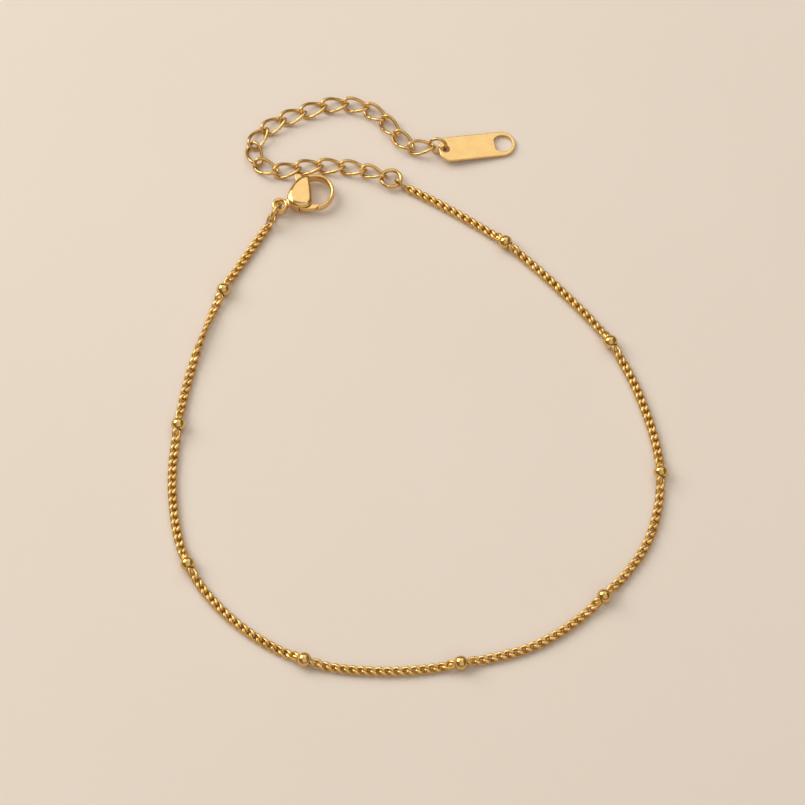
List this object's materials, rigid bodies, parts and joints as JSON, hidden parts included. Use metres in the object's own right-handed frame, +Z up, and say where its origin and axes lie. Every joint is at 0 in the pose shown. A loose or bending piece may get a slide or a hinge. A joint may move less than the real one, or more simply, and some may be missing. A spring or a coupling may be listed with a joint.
{
  "type": "chain anklet",
  "caption": "Fine gold-tone curb chain anklet with spaced round beads, a lobster clasp and an extender chain ending in a flat tag, lying open on a surface.",
  "frame": {"origin": "the middle of the footprint, on the surface that it lies on", "axes": "+Y runs from the loop towards the extender and the tag, +X to the right seen from above, +Z up off the surface"},
  "size_m": [0.0716, 0.0956, 0.0036],
  "materials": {
    "chain_metal": "polished gold tone on fine curb links",
    "bead_metal": "high polish gold tone",
    "link_metal": "polished gold tone wire",
    "clasp_metal": "high polish gold tone, cast and tumbled",
    "tag_metal": "high polish gold tone, stamped sheet with rounded edges"
  },
  "bodies": {
    "anklet": {"chain_1": "chain_metal", "chain_2": "chain_metal", "chain_3": "chain_metal", "chain_4": "chain_metal", "chain_5": "chain_metal", "chain_6": "chain_metal", "chain_7": "chain_metal", "chain_8": "chain_metal", "chain_9": "chain_metal", "chain_10": "chain_metal", "bead_1": "bead_metal", "bead_2": "bead_metal", "bead_3": "bead_metal", "bead_4": "bead_metal", "bead_5": "bead_metal", "bead_6": "bead_metal", "bead_7": "bead_metal", "bead_8": "bead_metal", "bead_9": "bead_metal", "extender_link_1": "link_metal", "extender_link_2": "link_metal", "extender_link_3": "link_metal", "extender_link_4": "link_metal", "extender_link_5": "link_metal", "extender_link_6": "link_metal", "extender_link_7": "link_metal", "extender_link_8": "link_metal", "extender_link_9": "link_metal", "extender_link_10": "link_metal", "extender_link_11": "link_metal", "extender_link_12": "link_metal", "extender_link_13": "link_metal", "extender_link_14": "link_metal", "extender_link_15": "link_metal", "extender_link_16": "link_metal", "extender_link_17": "link_metal", "clasp_ring": "link_metal", "extender_ring": "link_metal", "tag_ring": "link_metal", "clasp_body": "clasp_metal", "tag": "tag_metal"},
    "lever": {"clasp_lever": "clasp_metal"}
  },
  "joints": [
    {"name": "lever_hinge", "type": "hinge", "parent": "anklet", "child": "lever", "pos_m": [-0.01734, 0.02972, 0.00125], "axis": [0, 0, 1], "range_deg": [0, 28], "stiffness_Nm_per_rad": 0.004, "springref_deg": -11.46}
  ]
}
